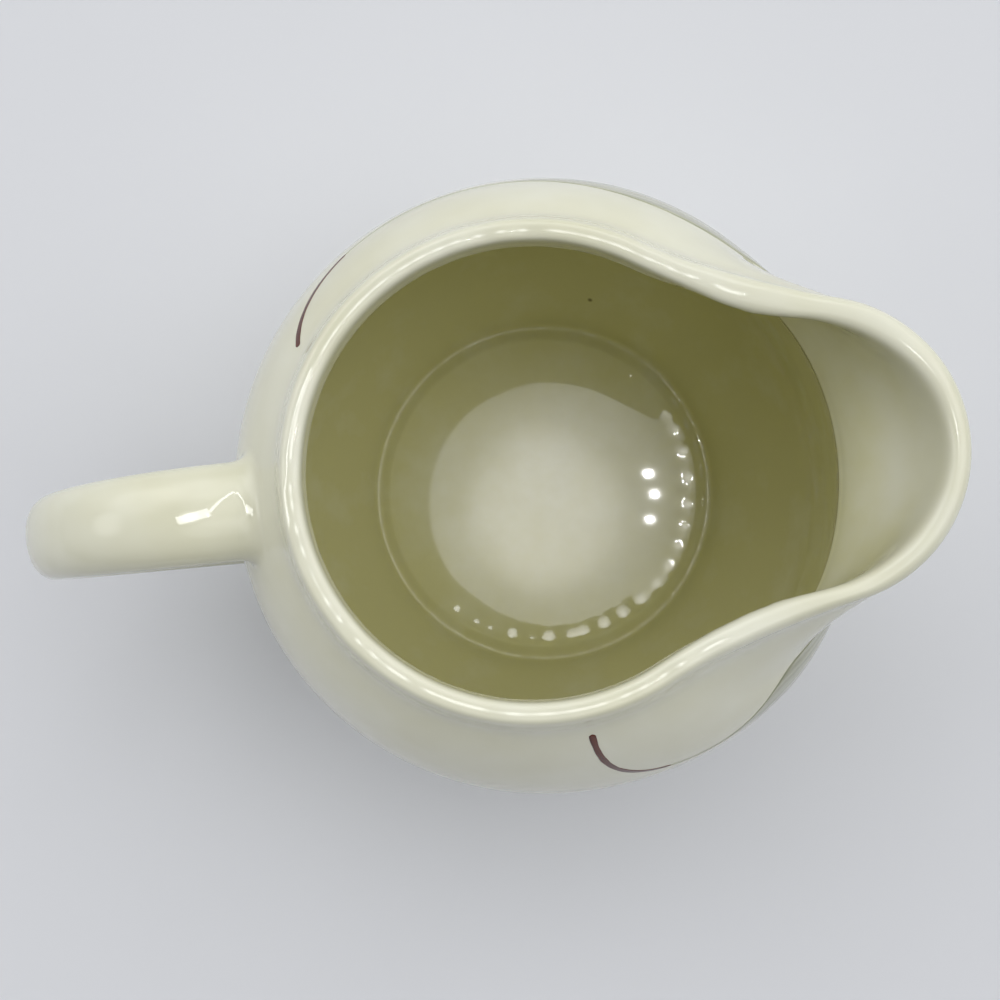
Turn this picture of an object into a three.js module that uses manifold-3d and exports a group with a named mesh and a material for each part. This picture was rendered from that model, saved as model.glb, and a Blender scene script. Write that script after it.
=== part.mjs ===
// A cream-glazed stoneware creamer: a round pot with a broad pouring lip, a loop handle and a dry foot ring.
// Millimetres, +Z up. The table is z = 0, the lip points along +X and the handle along -X.
import * as THREE from "three";
import { mergeVertices } from "three/addons/utils/BufferGeometryUtils.js";
import Module from "manifold-3d";

// Pot wall, from the table up
const HEIGHT = 88; // table to the top of the rim
const BASE_RADIUS = 31; // outside radius where the wall meets the foot ring
const HEEL_LEAN = 1.5; // how far the wall leans out just above the base
const BELLY_RADIUS = 45.8; // widest outside radius
const BELLY_HEIGHT = 37; // height of the widest point
const BELLY_LEAN = 0.8; // how far the belly bulges out of true on its fuller side
const BELLY_LEAN_ANGLE = -0.9; // direction of the fuller side, round the pot from the lip
const SIDE_SWELL = 1.4; // how far the wall swells beside the lip, on one side only
const SIDE_SWELL_ANGLE = -0.75; // middle of that swelling, round the pot from the lip
const SIDE_SWELL_SPREAD = 0.42; // half of its width, as an angle
const SIDE_SWELL_HEIGHT = 57; // table up to its middle
const SIDE_SWELL_RISE = 18; // half of its height
const NECK_RADIUS = 31.4; // outside radius of the short neck under the rim
const NECK_FILLET = 6; // hollow round between the shoulder and the neck
const NECK_TURN = Math.PI / 4; // slope that the shoulder has where the hollow begins
const RIM_RADIUS = 32.2; // outside radius of the rim's bead
const RIM_DEPTH = 3.2; // height of the bead over the neck
const WALL = 3; // wall thickness
const FLOOR_THICKNESS = 5; // floor, over the foot ring
const COVE = 4; // round between the floor and the wall, inside
const MOAT_RADIUS = 29.4; // groove round the floor, inside the wall's foot
const MOAT_DEPTH = 0.6;
const CREST_RADIUS = 26.9; // low ridge that the groove leaves on the floor's edge
const CREST_HEIGHT = 0.6;
const DISH_RADIUS = 23.4; // level middle of the floor

// Fullness of the wall's curves, as shares of the height that each one spans
const HEEL_SHARE = 0.2;
const LOWER_SHARE = 0.48;
const SHOULDER_SHARE = 0.35;
const CREST_SHARE = 0.23;
const LEAN_LOW_SHARE = 0.4; // share of the height over which the belly's bulge comes in
const LEAN_HIGH_SHARE = 0.25; // share of the height over which it goes out again

// Foot ring
const FOOT_HEIGHT = 3;
const FOOT_INSET = 1; // from the base's edge in to the ring's outside
const FOOT_WIDTH = 5;
const FOOT_ROUND = 0.9; // worn edges that stand on the table

// Pouring lip
const LIP_REACH = 53.8; // pot axis to the front of the lip's bead
const LIP_TIP_RADIUS = 19; // round of the lip's front, seen from above
const LIP_FLANK_RADIUS = 90; // hollow sweep from the rim into the lip's sides
const THROAT_DEPTH = 20; // rim down to the edge where the lip leaves the wall
const THROAT_SWELL = 2.2; // how far the wall swells forward under that edge
const SWELL_DEPTH = 22; // throat edge down to where the swelling begins
const SWELL_SPREAD = 2.2; // how much faster the front's round tightens than the wall swells
const LIP_FLARE = 1.1; // above 1 the lip's front curls outward towards its bead
const LIP_TIP_FLARE = 0.7; // below 1 the lip's front tightens early on its way up
const NOTCH_ANGLE = 1.07; // half of the sector that is cut out of the wall for the lip
const NOTCH_DROP = 1.2; // notch's lower edge, below the throat edge
const SLIP_LAYER = 0.8; // thickness of the joining slip

// Handle
const HANDLE_REACH = 75.5; // pot axis to the outside of the loop
const HANDLE_TWIST = 0.05; // turn of the handle from straight behind the lip
const HANDLE_WIDTH = 13.2; // strap's width at its ends
const GRIP_WIDTH = 12; // strap's width at the outermost point
const HANDLE_THICKNESS = 8.6;
const HANDLE_TOP_DROP = 14.5; // rim down to the middle of the upper end
const HANDLE_LOW_HEIGHT = 23; // table up to the middle of the lower end
const HANDLE_MIDDLE_HEIGHT = 50; // table up to the outermost point
const HANDLE_RISE = 0.42; // slope at which the upper end leaves the shoulder
const HANDLE_DIP = 0.12; // slope at which the lower end leaves the belly
const HANDLE_UPPER_PULL = 22; // length of the loop's upper bend
const HANDLE_LOWER_PULL = 18; // length of the loop's lower bend
const HANDLE_BEND = 17; // straightness of the loop's grip
const COLLAR_SPREAD = 1.8; // how far the slip spreads over the wall around the handle
const COLLAR_EDGE = 0.9; // thickness that the slip thins out to on the handle
const COLLAR_LENGTH = 3.5; // how far the slip runs out along the handle

// Painted lines
const PAINT = 0.3; // thickness of a painted layer
const BAND_WIDTH = 15; // band at its widest, under the lip
const BAND_LEFT_DROP = 17.5; // rim down to the middle of the band's ends
const BAND_RIGHT_DROP = 24.4;
const BAND_SAG = 13; // how far the band's middle hangs below its ends
const BAND_SAG_ANGLE = 0.25; // where it hangs lowest, round the pot from the lip
const BAND_SAG_POWER = 4.6; // how closely the hanging part keeps to that place
const BAND_LEFT_ANGLE = 1.65; // band's ends, round the pot from the lip
const BAND_RIGHT_ANGLE = -1.02;
const BAND_LEFT_RUN = 0.22; // share of the band over which it widens from each end
const BAND_RIGHT_RUN = 0.16;
const BAND_TAIL_SHARE = 0.1; // share of the band's steps that each thin tail takes
const BRUSH_WIDTH = 1.1; // brush line at its rounded end
const BRUSH_TAIL_WIDTH = 0.7; // brush line where it runs on into the band's tail
const BRUSH_RIM_GAP = 8.6; // rim down to a brush line's rounded end
const BRUSH_LEFT_ANGLE = 2.573; // rounded ends, round the pot from the lip
const BRUSH_RIGHT_ANGLE = -1.414;
const BRUSH_LEFT_BOW = 3.1; // how late each line leaves the level
const BRUSH_RIGHT_BOW = 2;
const BRUSH_LEFT_HOOK = 1; // how steeply each line ends, where 1 is a plain curve and less is a hook
const BRUSH_RIGHT_HOOK = 0.5;
const BRUSH_LEFT_START = 0.41; // share of each curl where the band's tail gives way to the brush line
const BRUSH_RIGHT_START = 0.3;
const BRUSH_JOIN_SHARE = 0.02; // space left there
const BRUSH_ROUND_SHARE = 0.06; // share of a brush line's length that its rounded end takes
const BRUSH_BLUNT = 0.9; // how much of the round is drawn before the end is cut off straight

// Space between neighbouring pieces
const CLEARANCE = 0.3;

// Facets
const TURN_SEGMENTS = 60;
const LOWER_STEPS = 7;
const BELLY_STEPS = 4;
const SHOULDER_STEPS = 6;
const BEAD_STEPS = 5;
const COVE_STEPS = 3;
const SECTION_STEPS = 10;
const HANDLE_STEPS = 30;
const COLLAR_STEPS = 5;
const COLLAR_SIDES = 28;
const BAND_STEPS = 48;
const BRUSH_STEPS = 24;
const HALVINGS = 40; // rounds of the search for a point at a height
const SLOPE_STEP = 0.05; // half of the height over which a slope is measured
const WALL_STEP = 1; // how far above and below a point the wall's slope is taken
const FAR = 200; // longer than the whole creamer

// Colours of clay, glaze and paint
const CREAM = 0xe4e2cf;
const CLAY = 0xc9b79a;
const BROWN = 0x5a4334;
const GREY_GREEN = 0x8d9a80;

const NECK_HEIGHT = HEIGHT - RIM_DEPTH;
const FLOOR_HEIGHT = FOOT_HEIGHT + FLOOR_THICKNESS;
const RIM_INSIDE = NECK_RADIUS - WALL;
const BEAD_RADIUS = (RIM_RADIUS - RIM_INSIDE) / 2;
const THROAT_HEIGHT = HEIGHT - THROAT_DEPTH;

const wasm = await Module();
wasm.setup();

const flat = (x, y) => new THREE.Vector2(x, y);
const space = (x, y, z) => new THREE.Vector3(x, y, z);

// Solid for cutting and joining, from a closed geometry.
function solidOf(geometry) {
  const bare = geometry.clone();
  bare.deleteAttribute("normal");
  bare.deleteAttribute("uv");
  const merged = mergeVertices(bare);
  return new wasm.Manifold(
    new wasm.Mesh({
      numProp: 3,
      vertProperties: merged.attributes.position.array,
      triVerts: new Uint32Array(merged.index.array),
    }),
  );
}

// Geometry of a solid that has been cut or joined.
function geometryOf(solid) {
  const mesh = solid.getMesh();
  const geometry = new THREE.BufferGeometry();
  geometry.setAttribute("position", new THREE.BufferAttribute(mesh.vertProperties, mesh.numProp));
  geometry.setIndex(new THREE.BufferAttribute(mesh.triVerts, 1));
  geometry.computeVertexNormals();
  return geometry;
}

// Outside of the pot from base to neck, as curves of radius and height that rise all the way.
function outsideCurves() {
  const base = flat(BASE_RADIUS, FOOT_HEIGHT);
  const belly = flat(BELLY_RADIUS, BELLY_HEIGHT);
  const lowerSpan = BELLY_HEIGHT - FOOT_HEIGHT;
  const lower = new THREE.CubicBezierCurve(
    base,
    flat(BASE_RADIUS + HEEL_LEAN, FOOT_HEIGHT + HEEL_SHARE * lowerSpan),
    flat(BELLY_RADIUS, BELLY_HEIGHT - LOWER_SHARE * lowerSpan),
    belly,
  );
  const crest = flat(
    NECK_RADIUS + NECK_FILLET * (1 - Math.cos(NECK_TURN)),
    NECK_HEIGHT - NECK_FILLET * Math.sin(NECK_TURN),
  );
  const upperSpan = crest.y - BELLY_HEIGHT;
  const crestRun = CREST_SHARE * upperSpan;
  const shoulder = new THREE.CubicBezierCurve(
    belly,
    flat(BELLY_RADIUS, BELLY_HEIGHT + SHOULDER_SHARE * upperSpan),
    flat(crest.x + crestRun * Math.tan(NECK_TURN), crest.y - crestRun),
    crest,
  );
  const neck = new THREE.EllipseCurve(
    NECK_RADIUS + NECK_FILLET,
    NECK_HEIGHT,
    NECK_FILLET,
    NECK_FILLET,
    Math.PI + NECK_TURN,
    Math.PI,
    true,
  );
  return [lower, shoulder, neck];
}

const OUTSIDE = outsideCurves();

// Outside radius of the turned pot at a height, without the lip.
function outsideRadius(height) {
  const curve = OUTSIDE.find((one) => one.getPoint(1).y >= height) ?? OUTSIDE.at(-1);
  let low = 0;
  let high = 1;
  for (let step = 0; step < HALVINGS; step += 1) {
    const middle = (low + high) / 2;
    if (curve.getPoint(middle).y < height) {
      low = middle;
    } else {
      high = middle;
    }
  }
  return curve.getPoint(high).x;
}

// Change of the outside radius with height.
function outsideSlope(height) {
  const low = Math.max(FOOT_HEIGHT, height - SLOPE_STEP);
  const high = Math.min(NECK_HEIGHT, height + SLOPE_STEP);
  return (outsideRadius(high) - outsideRadius(low)) / (high - low);
}

// Heights from base to neck, closer together over the shoulder, with one at the throat edge.
function wallHeights() {
  const spans = [
    [FOOT_HEIGHT, BELLY_HEIGHT, LOWER_STEPS],
    [BELLY_HEIGHT, THROAT_HEIGHT, BELLY_STEPS],
    [THROAT_HEIGHT, NECK_HEIGHT, SHOULDER_STEPS],
  ];
  const heights = [FOOT_HEIGHT];
  for (const [low, high, steps] of spans) {
    for (let step = 1; step <= steps; step += 1) {
      heights.push(low + ((high - low) * step) / steps);
    }
  }
  return heights;
}

// Section of the turned pot: up the outside, over the bead and down the inside to the floor.
function potSection() {
  const outside = wallHeights().map((height) => flat(outsideRadius(height), height));
  const bead = new THREE.EllipseCurve(
    RIM_INSIDE + BEAD_RADIUS,
    HEIGHT - BEAD_RADIUS,
    BEAD_RADIUS,
    BEAD_RADIUS,
    0,
    Math.PI,
  ).getPoints(BEAD_STEPS);
  const coveTop = FLOOR_HEIGHT + COVE;
  const inside = wallHeights()
    .filter((height) => height > coveTop)
    .map((height) => flat(outsideRadius(height) - WALL, height))
    .reverse();
  const coveSlope = outsideSlope(coveTop);
  const wallFoot = flat(outsideRadius(coveTop) - WALL * Math.hypot(1, coveSlope), coveTop);
  const moat = flat(MOAT_RADIUS, FLOOR_HEIGHT - MOAT_DEPTH);
  const cove = new THREE.QuadraticBezierCurve(
    wallFoot,
    flat(wallFoot.x - COVE * coveSlope, moat.y),
    moat,
  ).getPoints(COVE_STEPS);
  const floor = [
    flat(CREST_RADIUS, FLOOR_HEIGHT + CREST_HEIGHT),
    flat(DISH_RADIUS, FLOOR_HEIGHT),
    flat(0, FLOOR_HEIGHT),
  ];
  return [flat(0, FOOT_HEIGHT), ...outside, ...bead, ...inside, ...cove, ...floor];
}

// Radius of the lip's outline at an angle from its middle: body circle, hollow flank, round front.
function lipOutline(angle, bodyRadius, tipRadius, reach) {
  const tipCentre = reach - tipRadius;
  const bodySpan = bodyRadius + LIP_FLANK_RADIUS;
  const tipSpan = tipRadius + LIP_FLANK_RADIUS;
  const flankX = (bodySpan ** 2 - tipSpan ** 2 + tipCentre ** 2) / (2 * tipCentre);
  const flankY = Math.sqrt(bodySpan ** 2 - flankX ** 2);
  const flankStart = Math.atan2(flankY, flankX);
  const tipShare = tipRadius / tipSpan;
  const tipEnd = Math.atan2(tipShare * flankY, tipCentre + tipShare * (flankX - tipCentre));
  const turn = Math.abs(angle);
  if (turn >= flankStart) {
    return bodyRadius;
  }
  if (turn <= tipEnd) {
    return tipCentre * Math.cos(turn) + Math.sqrt(tipRadius ** 2 - (tipCentre * Math.sin(turn)) ** 2);
  }
  const along = flankX * Math.cos(turn) + flankY * Math.sin(turn);
  return along - Math.sqrt(along ** 2 - bodySpan ** 2 + LIP_FLANK_RADIUS ** 2);
}

// How far the wall is drawn out at an angle and a height: a slight swelling up to the throat edge,
// then the lip.
function lipPull(angle, height) {
  const bodyRadius = outsideRadius(height);
  const swellStart = THROAT_HEIGHT - SWELL_DEPTH;
  if (height <= swellStart) {
    return 0;
  }
  if (height <= THROAT_HEIGHT) {
    const swell = THROAT_SWELL * ((height - swellStart) / SWELL_DEPTH) ** 2;
    const frontRadius = bodyRadius - SWELL_SPREAD * swell;
    return lipOutline(angle, bodyRadius, frontRadius, bodyRadius + swell) - bodyRadius;
  }
  const rise = (Math.min(height, NECK_HEIGHT) - THROAT_HEIGHT) / (NECK_HEIGHT - THROAT_HEIGHT);
  const throatRadius = outsideRadius(THROAT_HEIGHT);
  const throatReach = throatRadius + THROAT_SWELL;
  const throatTip = throatRadius - SWELL_SPREAD * THROAT_SWELL;
  const neckReach = LIP_REACH - (RIM_RADIUS - NECK_RADIUS);
  const reach = throatReach + (neckReach - throatReach) * rise ** LIP_FLARE;
  const tipRadius = throatTip + (LIP_TIP_RADIUS - throatTip) * rise ** LIP_TIP_FLARE;
  return lipOutline(angle, bodyRadius, tipRadius, reach) - bodyRadius;
}

// How far the belly bulges out of true at an angle and a height.
function bellyLean(angle, height) {
  const low = THREE.MathUtils.smoothstep(height, FLOOR_HEIGHT, FLOOR_HEIGHT + LEAN_LOW_SHARE * HEIGHT);
  const high = THREE.MathUtils.smoothstep(height, NECK_HEIGHT - LEAN_HIGH_SHARE * HEIGHT, NECK_HEIGHT);
  const across = (angle - SIDE_SWELL_ANGLE) / SIDE_SWELL_SPREAD;
  const up = (height - SIDE_SWELL_HEIGHT) / SIDE_SWELL_RISE;
  const side = SIDE_SWELL * Math.exp(-(across ** 2) - up ** 2);
  return (BELLY_LEAN * low * Math.cos(angle - BELLY_LEAN_ANGLE) + side) * (1 - high);
}

// Outside radius of the finished wall at an angle and a height.
function drawnRadius(angle, height) {
  return outsideRadius(height) + lipPull(angle, height) + bellyLean(angle, height);
}

// Change of the finished wall's radius with height.
function drawnSlope(angle, height) {
  const low = Math.max(FOOT_HEIGHT, height - SLOPE_STEP);
  const high = Math.min(NECK_HEIGHT, height + SLOPE_STEP);
  return low < high ? (drawnRadius(angle, high) - drawnRadius(angle, low)) / (high - low) : 0;
}

// Inside radius of the finished wall, one wall thickness square to the outside.
function insideRadius(angle, height) {
  const below = Math.hypot(1, drawnSlope(angle, height - WALL_STEP));
  const above = Math.hypot(1, drawnSlope(angle, height + WALL_STEP));
  return drawnRadius(angle, height) - (WALL * (below + above)) / 2;
}

// Turned section stood upright.
function turned(section) {
  return new THREE.LatheGeometry(section, TURN_SEGMENTS).rotateX(Math.PI / 2);
}

// Turned geometry with each point moved to the radius that its angle, height and old radius give.
function reshaped(geometry, radiusAt) {
  const position = geometry.attributes.position;
  for (let i = 0; i < position.count; i += 1) {
    const angle = Math.atan2(position.getY(i), position.getX(i));
    const old = Math.hypot(position.getX(i), position.getY(i));
    const radius = radiusAt(angle, position.getZ(i), old);
    position.setXY(i, radius * Math.cos(angle), radius * Math.sin(angle));
  }
  return solidOf(geometry);
}

// Whole pot wall with the lip drawn out of it.
function drawnPot() {
  return reshaped(turned(potSection()), (angle, height, radius) => {
    const onWall = height > FLOOR_HEIGHT + COVE && height <= NECK_HEIGHT;
    if (onWall && radius < outsideRadius(height) - WALL / 2) {
      return insideRadius(angle, height);
    }
    return radius > 0 ? radius + lipPull(angle, height) + bellyLean(angle, height) : 0;
  });
}

// Filled pot, one clearance larger than the wall, for fitting the handle against it.
function filledPot() {
  const outside = wallHeights().map((height) => {
    const slope = outsideSlope(height);
    const length = Math.hypot(1, slope);
    return flat(outsideRadius(height) + CLEARANCE / length, height - (CLEARANCE * slope) / length);
  });
  const foot = outside[0];
  const top = outside.at(-1);
  const section = [flat(0, foot.y), ...outside, flat(0, top.y)];
  return reshaped(turned(section), (angle, height, radius) =>
    radius > 0 ? radius + bellyLean(angle + HANDLE_TWIST, height) : 0,
  );
}

// Sector that is cut out of the wall for the lip, grown on its sides and lower edge.
function notch(grow) {
  const apex = -grow / Math.sin(NOTCH_ANGLE);
  const corner = flat(apex + FAR * Math.cos(NOTCH_ANGLE), FAR * Math.sin(NOTCH_ANGLE));
  const sector = new THREE.Shape([flat(apex, 0), flat(corner.x, -corner.y), corner]);
  const geometry = new THREE.ExtrudeGeometry(sector, { depth: HEIGHT, bevelEnabled: false });
  return solidOf(geometry.translate(0, 0, THROAT_HEIGHT - NOTCH_DROP - grow));
}

// Middle of the wall's inside behind the handle at a height, where one end of the handle starts.
function handleRoot(height) {
  return space(WALL - outsideRadius(height), 0, height);
}

// Middle line of the handle, from inside the shoulder round to inside the lower belly.
function handlePath() {
  const top = handleRoot(HEIGHT - HANDLE_TOP_DROP);
  const low = handleRoot(HANDLE_LOW_HEIGHT);
  const middle = space(HANDLE_THICKNESS / 2 - HANDLE_REACH, 0, HANDLE_MIDDLE_HEIGHT);
  const path = new THREE.CurvePath();
  path.add(
    new THREE.CubicBezierCurve3(
      top,
      space(top.x - HANDLE_UPPER_PULL, 0, top.z + HANDLE_UPPER_PULL * HANDLE_RISE),
      space(middle.x, 0, middle.z + HANDLE_BEND),
      middle,
    ),
  );
  path.add(
    new THREE.CubicBezierCurve3(
      middle,
      space(middle.x, 0, middle.z - HANDLE_BEND),
      space(low.x - HANDLE_LOWER_PULL, 0, low.z - HANDLE_LOWER_PULL * HANDLE_DIP),
      low,
    ),
  );
  return path;
}

// Oval strap swept along the handle's middle line, narrower at the grip, grown all round.
function strap(grow) {
  const oval = new THREE.Shape();
  oval.absellipse(0, 0, HANDLE_WIDTH / 2 + grow, HANDLE_THICKNESS / 2 + grow, 0, 2 * Math.PI);
  const geometry = new THREE.ExtrudeGeometry(oval, {
    steps: HANDLE_STEPS,
    curveSegments: SECTION_STEPS,
    extrudePath: handlePath(),
  });
  const position = geometry.attributes.position;
  const root = outsideRadius(HEIGHT - HANDLE_TOP_DROP);
  for (let i = 0; i < position.count; i += 1) {
    const run = THREE.MathUtils.smoothstep(-position.getX(i), root, HANDLE_REACH);
    position.setY(i, position.getY(i) * THREE.MathUtils.lerp(1, GRIP_WIDTH / HANDLE_WIDTH, run));
  }
  return solidOf(geometry);
}

// Slip smoothed around one end of the handle: thick on the wall, thinning out along the strap.
function collar(root, outward) {
  const depth = WALL + HANDLE_THICKNESS / 2;
  const length = depth + COLLAR_LENGTH;
  const across = space(0, 1, 0);
  const up = space().crossVectors(across, outward);
  const geometry = new THREE.CylinderGeometry(1, 1, 1, COLLAR_SIDES, COLLAR_STEPS);
  const position = geometry.attributes.position;
  for (let i = 0; i < position.count; i += 1) {
    const run = position.getY(i) + 0.5;
    const spread = COLLAR_EDGE + COLLAR_SPREAD * (1 - run) ** 2;
    const point = root
      .clone()
      .addScaledVector(outward, WALL + run * length - depth)
      .addScaledVector(across, position.getX(i) * (HANDLE_WIDTH / 2 + spread))
      .addScaledVector(up, position.getZ(i) * (HANDLE_THICKNESS / 2 + spread));
    position.setXYZ(i, point.x, point.y, point.z);
  }
  return solidOf(geometry).subtract(strap(CLEARANCE)).subtract(filledPot());
}

// Collar at the handle's upper end.
function upperCollar() {
  const outward = space(-1, 0, HANDLE_RISE).normalize();
  return collar(handleRoot(HEIGHT - HANDLE_TOP_DROP), outward);
}

// Collar at the handle's lower end.
function lowerCollar() {
  const outward = space(-1, 0, -HANDLE_DIP).normalize();
  return collar(handleRoot(HANDLE_LOW_HEIGHT), outward);
}

// Ring of dry clay that the pot stands on, with worn lower edges.
function footRing() {
  const outer = BASE_RADIUS - FOOT_INSET;
  const inner = outer - FOOT_WIDTH;
  const section = [
    flat(inner, FOOT_HEIGHT),
    flat(inner, FOOT_ROUND),
    flat(inner + FOOT_ROUND, 0),
    flat(outer - FOOT_ROUND, 0),
    flat(outer, FOOT_ROUND),
    flat(outer, FOOT_HEIGHT),
    flat(inner, FOOT_HEIGHT),
  ];
  return turned(section);
}

// Point at an angle and a height, a distance out from the pot's outside.
function overWall(angle, height, distance) {
  const slope = drawnSlope(angle, height);
  const length = Math.hypot(1, slope);
  const radius = drawnRadius(angle, height) + distance / length;
  return space(radius * Math.cos(angle), radius * Math.sin(angle), height - (distance * slope) / length);
}

// Painted layer along a line on the wall. The line gives an angle, a height and a width at each share
// of its length.
function painted(line, lengthSteps, widthSteps) {
  const geometry = new THREE.BoxGeometry(1, 1, 1, lengthSteps, widthSteps, 1);
  const position = geometry.attributes.position;
  const reach = 0.5 / lengthSteps;
  for (let i = 0; i < position.count; i += 1) {
    const share = position.getX(i) + 0.5;
    const here = line(share);
    const middle = overWall(here.angle, here.height, 0);
    const before = line(share - reach);
    const after = line(share + reach);
    const along = overWall(after.angle, after.height, 0).sub(overWall(before.angle, before.height, 0));
    const out = overWall(here.angle, here.height, 1).sub(middle);
    const across = space().crossVectors(out, along).normalize();
    const edge = middle.addScaledVector(across, position.getY(i) * here.width);
    const distance = CLEARANCE + PAINT * (position.getZ(i) + 0.5);
    const point = overWall(Math.atan2(edge.y, edge.x), edge.z, distance);
    position.setXYZ(i, point.x, point.y, point.z);
  }
  return geometry;
}

const LEFT = {
  bandAngle: BAND_LEFT_ANGLE,
  bandHeight: HEIGHT - BAND_LEFT_DROP,
  endAngle: BRUSH_LEFT_ANGLE,
  bow: BRUSH_LEFT_BOW,
  hook: BRUSH_LEFT_HOOK,
  start: BRUSH_LEFT_START,
};
const RIGHT = {
  bandAngle: BAND_RIGHT_ANGLE,
  bandHeight: HEIGHT - BAND_RIGHT_DROP,
  endAngle: BRUSH_RIGHT_ANGLE,
  bow: BRUSH_RIGHT_BOW,
  hook: BRUSH_RIGHT_HOOK,
  start: BRUSH_RIGHT_START,
};

// Line that leaves one end of the band level and curls up the shoulder, as run goes from 0 to 1.
function curl(side, run) {
  const sweep = Math.sin((run * Math.PI) / 2);
  const rise = HEIGHT - BRUSH_RIM_GAP - side.bandHeight;
  return {
    angle: side.bandAngle + (side.endAngle - side.bandAngle) * sweep,
    height: side.bandHeight + rise * (1 - (1 - sweep ** side.bow) ** side.hook),
  };
}

// Band's middle line: it hangs under the lip and runs out into a thin tail at both ends.
function bandLine(share) {
  const { lerp, smoothstep } = THREE.MathUtils;
  if (share < BAND_TAIL_SHARE) {
    const run = LEFT.start * (1 - share / BAND_TAIL_SHARE);
    return { ...curl(LEFT, run), width: BRUSH_TAIL_WIDTH };
  }
  if (share > 1 - BAND_TAIL_SHARE) {
    const run = RIGHT.start * (1 - (1 - share) / BAND_TAIL_SHARE);
    return { ...curl(RIGHT, run), width: BRUSH_TAIL_WIDTH };
  }
  const part = (share - BAND_TAIL_SHARE) / (1 - 2 * BAND_TAIL_SHARE);
  const angle = lerp(LEFT.bandAngle, RIGHT.bandAngle, part);
  const sag = BAND_SAG * Math.max(Math.cos(angle - BAND_SAG_ANGLE), 0) ** BAND_SAG_POWER;
  const fullness = smoothstep(part, 0, BAND_LEFT_RUN) * smoothstep(1 - part, 0, BAND_RIGHT_RUN);
  return {
    angle,
    height: lerp(LEFT.bandHeight, RIGHT.bandHeight, part) - sag,
    width: lerp(BRUSH_TAIL_WIDTH, BAND_WIDTH, fullness),
  };
}

// Brush line from one tail of the band up to a rounded end under the rim.
function brushLine(side) {
  return (share) => {
    const part = THREE.MathUtils.clamp(share, 0, 1);
    const swell = THREE.MathUtils.lerp(BRUSH_TAIL_WIDTH, BRUSH_WIDTH, Math.sqrt(part));
    const round = THREE.MathUtils.clamp((part - 1 + BRUSH_ROUND_SHARE) / BRUSH_ROUND_SHARE, 0, 1);
    const tip = Math.sqrt(1 - (BRUSH_BLUNT * round) ** 2);
    const run = THREE.MathUtils.lerp(side.start + BRUSH_JOIN_SHARE, 1, share);
    return { ...curl(side, run), width: swell * tip };
  };
}

const creamer = new THREE.Group();
const loop = new THREE.Group();
loop.rotation.z = HANDLE_TWIST;
creamer.add(loop);

// Named piece in its own finish, added to a group.
function addPiece(group, name, geometry, color, roughness) {
  const finish = new THREE.MeshStandardMaterial({ color, roughness, metalness: 0 });
  const mesh = new THREE.Mesh(geometry, finish);
  mesh.name = name;
  group.add(mesh);
}

const pot = drawnPot();
const seamOuter = CLEARANCE + SLIP_LAYER;
const seam = notch(seamOuter).subtract(notch(CLEARANCE));
const handle = strap(0).subtract(filledPot());

addPiece(creamer, "body_wall", geometryOf(pot.subtract(notch(seamOuter + CLEARANCE))), CREAM, 0.15);
addPiece(creamer, "pouring_lip", geometryOf(pot.intersect(notch(0))), CREAM, 0.15);
addPiece(creamer, "lip_slip_seam", geometryOf(pot.intersect(seam)), CREAM, 0.2);
addPiece(creamer, "foot_ring", footRing(), CLAY, 0.85);
addPiece(loop, "handle", geometryOf(handle), CREAM, 0.15);
addPiece(loop, "upper_handle_collar", geometryOf(upperCollar()), CREAM, 0.2);
addPiece(loop, "lower_handle_collar", geometryOf(lowerCollar()), CREAM, 0.2);
addPiece(creamer, "painted_band", painted(bandLine, BAND_STEPS, 4), GREY_GREEN, 0.2);
addPiece(creamer, "brush_line_left", painted(brushLine(LEFT), BRUSH_STEPS, 2), BROWN, 0.2);
addPiece(creamer, "brush_line_right", painted(brushLine(RIGHT), BRUSH_STEPS, 2), BROWN, 0.2);

// The table point under the middle of the whole creamer is the origin.
const middle = new THREE.Box3().setFromObject(creamer).getCenter(space());
creamer.position.set(-middle.x, -middle.y, 0);

export default creamer;
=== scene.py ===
"""Looks of a cream-glazed stoneware creamer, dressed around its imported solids.

The pot's sizes are in millimetres from its own axis, with +Z up and the lip towards +X, and are
turned into metres where a mesh is made. The table, the lamps and the camera are in metres.
"""

from __future__ import annotations

import logging
import math
from dataclasses import dataclass
from enum import Enum
from functools import cached_property
from typing import Sequence

import bmesh
import bpy
import numpy as np
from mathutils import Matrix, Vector


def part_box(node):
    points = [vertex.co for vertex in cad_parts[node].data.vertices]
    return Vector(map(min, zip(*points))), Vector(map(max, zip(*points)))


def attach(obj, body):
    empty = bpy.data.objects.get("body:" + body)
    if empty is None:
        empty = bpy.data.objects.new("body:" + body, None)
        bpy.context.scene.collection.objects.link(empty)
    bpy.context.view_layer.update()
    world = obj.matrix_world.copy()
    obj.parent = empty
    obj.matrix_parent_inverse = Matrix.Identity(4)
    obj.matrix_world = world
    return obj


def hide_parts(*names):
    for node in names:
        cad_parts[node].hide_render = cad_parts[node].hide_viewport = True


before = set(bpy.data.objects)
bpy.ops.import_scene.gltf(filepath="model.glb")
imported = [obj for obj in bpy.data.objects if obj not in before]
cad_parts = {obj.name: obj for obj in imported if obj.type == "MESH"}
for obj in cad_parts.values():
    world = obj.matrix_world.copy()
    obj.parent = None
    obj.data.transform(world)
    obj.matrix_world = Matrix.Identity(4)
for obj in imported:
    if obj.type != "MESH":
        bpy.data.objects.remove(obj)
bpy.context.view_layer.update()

Array = np.ndarray
Material = bpy.types.Material
Node = bpy.types.Node
Object = bpy.types.Object
Socket = bpy.types.NodeSocket
Span = tuple[float, float]
Tree = bpy.types.NodeTree

LOG = logging.getLogger("creamer")
MM = 0.001
BODY = "root"

# Values that a noise texture mostly stays between, tighter and wider.
NOISE_CORE = {"From Min": 0.35, "From Max": 0.65}
NOISE_WIDE = {"From Min": 0.3, "From Max": 0.7}

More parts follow.
